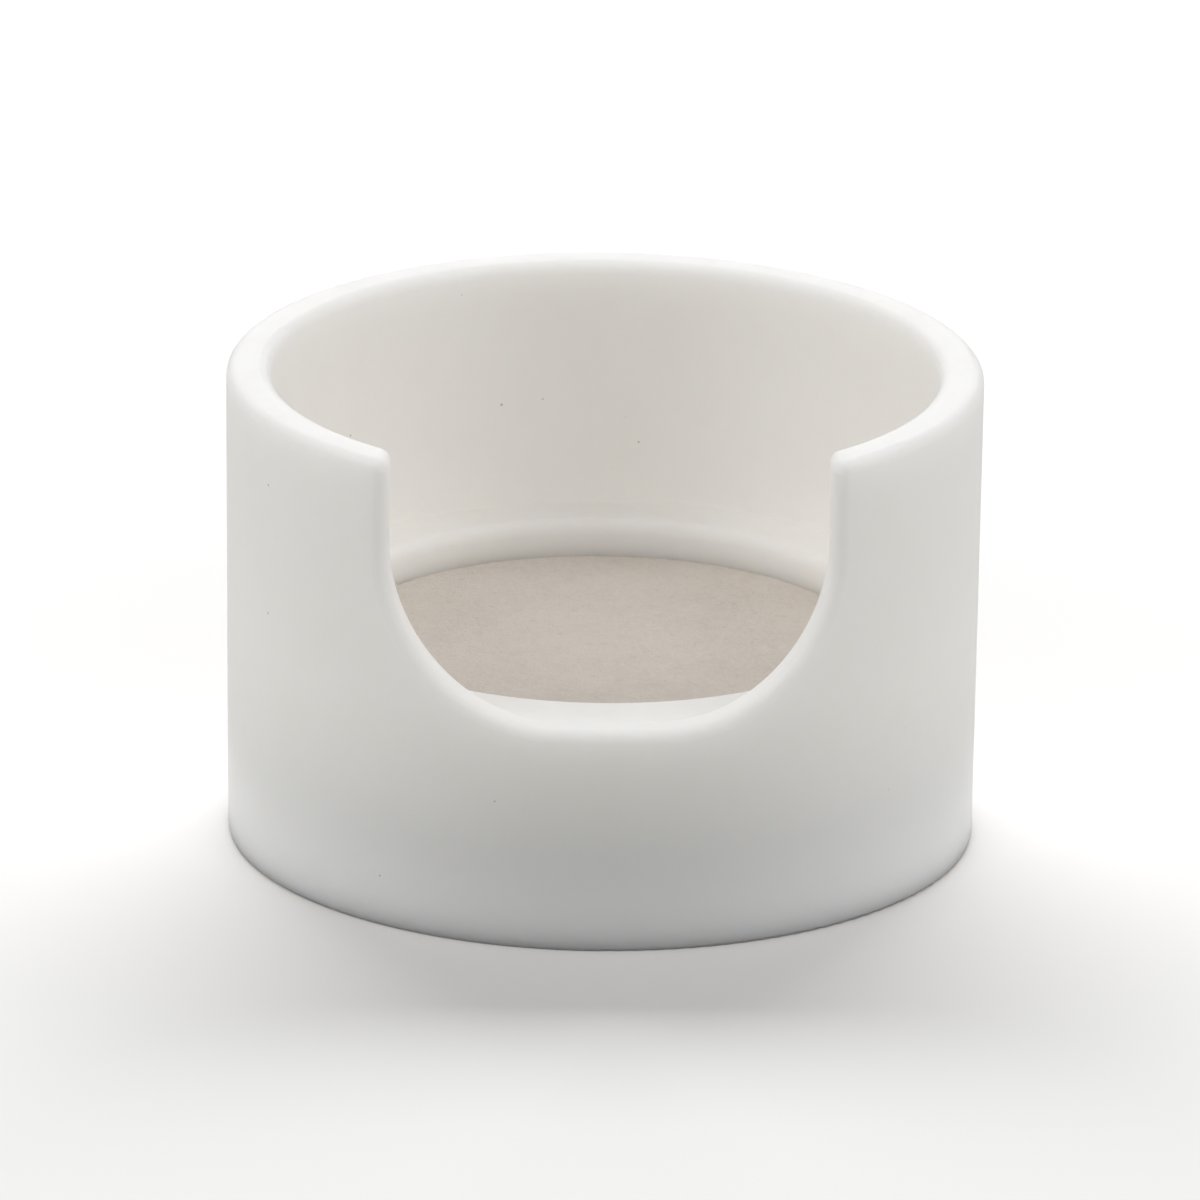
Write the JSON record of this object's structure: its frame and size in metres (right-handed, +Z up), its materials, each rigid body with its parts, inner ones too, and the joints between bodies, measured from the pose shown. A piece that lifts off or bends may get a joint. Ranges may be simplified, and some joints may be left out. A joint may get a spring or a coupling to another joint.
{
  "type": "buchner funnel",
  "caption": "Round cup of a Buchner filter funnel with a U-shaped opening in its wall, a recessed porous disc on a perforated plate, and a plug-in foot with a drain and an outlet socket.",
  "frame": {"origin": "centre of the cup's underside, on the bench plane", "axes": "+Z up along the cup's axis; the U-shaped opening in the wall faces -Y; +X to the right of it"},
  "size_m": [0.06, 0.0598, 0.0384],
  "materials": {
    "cup_plastic": "satin",
    "collector_plastic": "satin",
    "plate_plastic": "satin",
    "porous_disc": "matte",
    "gasket_rubber": "matte",
    "oring_rubber": "satin"
  },
  "bodies": {
    "base": {"collector": "collector_plastic", "collector_oring": "oring_rubber"},
    "cup": {"filter_cup": "cup_plastic", "disc_gasket": "gasket_rubber"},
    "plate": {"support_plate": "plate_plastic"},
    "disc": {"filter_disc": "porous_disc"}
  },
  "joints": [
    {"name": "cup_lift", "type": "slide", "parent": "base", "child": "cup", "axis": [0, 0, 1], "range_m": [0, 0.022]},
    {"name": "plate_lift", "type": "slide", "parent": "cup", "child": "plate", "axis": [0, 0, 1], "range_m": [0, 0.034]},
    {"name": "disc_lift", "type": "slide", "parent": "plate", "child": "disc", "axis": [0, 0, 1], "range_m": [0, 0.032]}
  ]
}
